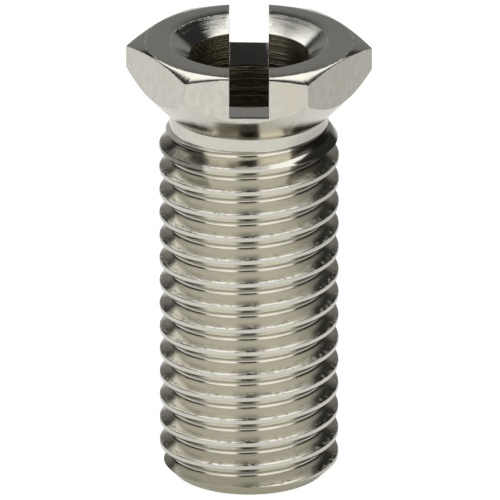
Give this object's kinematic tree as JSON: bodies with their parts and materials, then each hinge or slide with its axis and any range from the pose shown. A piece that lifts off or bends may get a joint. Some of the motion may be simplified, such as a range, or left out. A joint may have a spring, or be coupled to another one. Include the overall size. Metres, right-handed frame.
{
  "type": "valve bonnet screw",
  "caption": "Hollow plated-brass screw with a slotted, countersunk hexagon head, a conical underside, a plain neck and a right-hand metric thread.",
  "frame": {"origin": "centre of the threaded end face, on the screw's axis", "axes": "+Z along the axis towards the head; two flats of the hexagon face -Y and +Y, two corners lie on the X axis, and the slot runs along Y"},
  "size_m": [0.015, 0.013, 0.028],
  "materials": {
    "nickel_plate": "bright nickel plate over turned brass"
  },
  "bodies": {
    "root": {"hollow_screw": "nickel_plate"}
  },
  "joints": []
}
